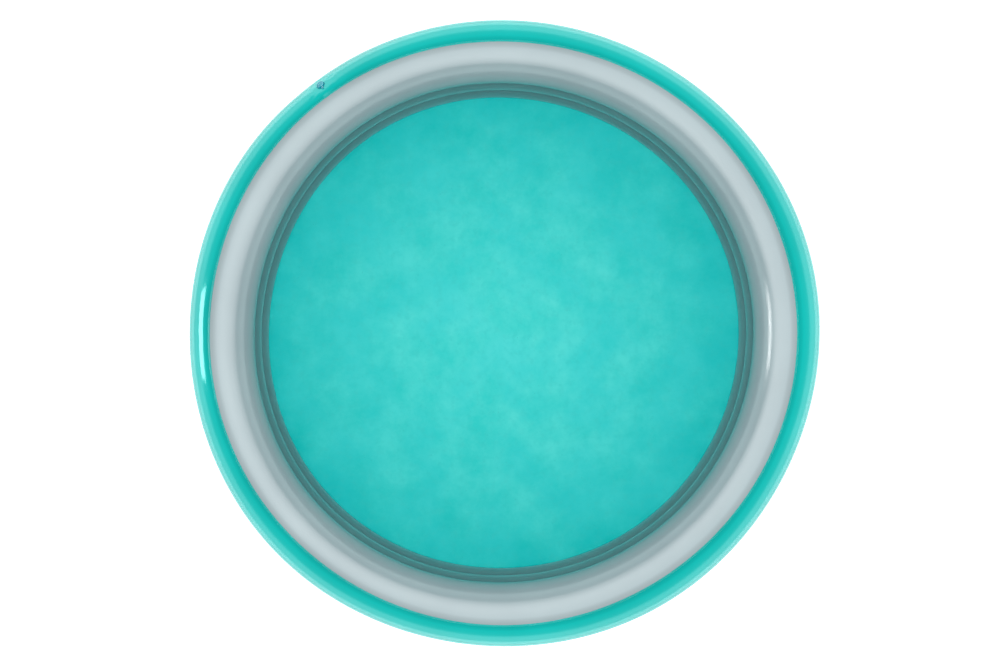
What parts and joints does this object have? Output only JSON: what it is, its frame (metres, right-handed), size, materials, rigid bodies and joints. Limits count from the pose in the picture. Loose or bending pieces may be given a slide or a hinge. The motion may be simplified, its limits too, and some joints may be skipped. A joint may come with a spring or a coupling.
{
  "type": "inflatable paddling pool",
  "caption": "Round inflatable paddling pool: stacked air rings with welded creases, each with a push-in valve with plug, strap and check flap, over a flat sheet floor.",
  "frame": {"origin": "centre of the base, on the ground under the middle of the pool", "axes": "+Z up, +X to the right and +Y up in the picture, which looks straight down; the valves stand at 126.4 degrees from +X towards +Y"},
  "size_m": [1.0198, 1.0198, 0.25],
  "materials": {
    "outer_vinyl": "glossy teal PVC film",
    "inner_vinyl": "glossy pale grey PVC film",
    "floor_vinyl": "teal PVC film, softly mottled where it lies on the ground",
    "weld_vinyl": "glossy teal PVC, fused in the weld",
    "valve_vinyl": "soft clear PVC with a blue tint"
  },
  "bodies": {
    "root": {"floor_sheet": "floor_vinyl", "base_seam": "weld_vinyl", "lower_crease_seam": "weld_vinyl", "upper_crease_seam": "weld_vinyl", "top_seam": "weld_vinyl", "bottom_outer_skin": "outer_vinyl", "middle_outer_skin": "outer_vinyl", "top_outer_skin": "outer_vinyl", "bottom_inner_skin": "inner_vinyl", "middle_inner_skin": "inner_vinyl", "top_inner_skin": "inner_vinyl", "bottom_valve_flange": "valve_vinyl", "middle_valve_flange": "valve_vinyl", "top_valve_flange": "valve_vinyl"},
    "bottom_stem": {"bottom_valve_stem": "valve_vinyl", "bottom_valve_strap": "valve_vinyl"},
    "bottom_plug": {"bottom_valve_plug": "valve_vinyl"},
    "bottom_flap": {"bottom_valve_flap": "valve_vinyl"},
    "middle_stem": {"middle_valve_stem": "valve_vinyl", "middle_valve_strap": "valve_vinyl"},
    "middle_plug": {"middle_valve_plug": "valve_vinyl"},
    "middle_flap": {"middle_valve_flap": "valve_vinyl"},
    "top_stem": {"top_valve_stem": "valve_vinyl", "top_valve_strap": "valve_vinyl"},
    "top_plug": {"top_valve_plug": "valve_vinyl"},
    "top_flap": {"top_valve_flap": "valve_vinyl"}
  },
  "joints": [
    {"name": "bottom_stem_pull", "type": "slide", "parent": "root", "child": "bottom_stem", "axis": [-0.3784, 0.5133, 0.7702], "range_m": [0, 0.012]},
    {"name": "bottom_plug_pull", "type": "slide", "parent": "bottom_stem", "child": "bottom_plug", "axis": [-0.3784, 0.5133, 0.7702], "range_m": [0, 0.009]},
    {"name": "bottom_flap_swing", "type": "hinge", "parent": "bottom_stem", "child": "bottom_flap", "pos_m": [-0.28355, 0.3846, 0.0617], "axis": [-0.8049, -0.5934, 0], "range_deg": [0, 60], "stiffness_Nm_per_rad": 0.0002, "springref_deg": -17.19},
    {"name": "middle_stem_pull", "type": "slide", "parent": "root", "child": "middle_stem", "axis": [-0.3784, 0.5133, 0.7702], "range_m": [0, 0.012]},
    {"name": "middle_plug_pull", "type": "slide", "parent": "middle_stem", "child": "middle_plug", "axis": [-0.3784, 0.5133, 0.7702], "range_m": [0, 0.009]},
    {"name": "middle_flap_swing", "type": "hinge", "parent": "middle_stem", "child": "middle_flap", "pos_m": [-0.28355, 0.3846, 0.1446], "axis": [-0.8049, -0.5934, 0], "range_deg": [0, 60], "stiffness_Nm_per_rad": 0.0002, "springref_deg": -17.19},
    {"name": "top_stem_pull", "type": "slide", "parent": "root", "child": "top_stem", "axis": [-0.3784, 0.5133, 0.7702], "range_m": [0, 0.012]},
    {"name": "top_plug_pull", "type": "slide", "parent": "top_stem", "child": "top_plug", "axis": [-0.3784, 0.5133, 0.7702], "range_m": [0, 0.009]},
    {"name": "top_flap_swing", "type": "hinge", "parent": "top_stem", "child": "top_flap", "pos_m": [-0.28355, 0.3846, 0.2275], "axis": [-0.8049, -0.5934, 0], "range_deg": [0, 60], "stiffness_Nm_per_rad": 0.0002, "springref_deg": -17.19}
  ]
}
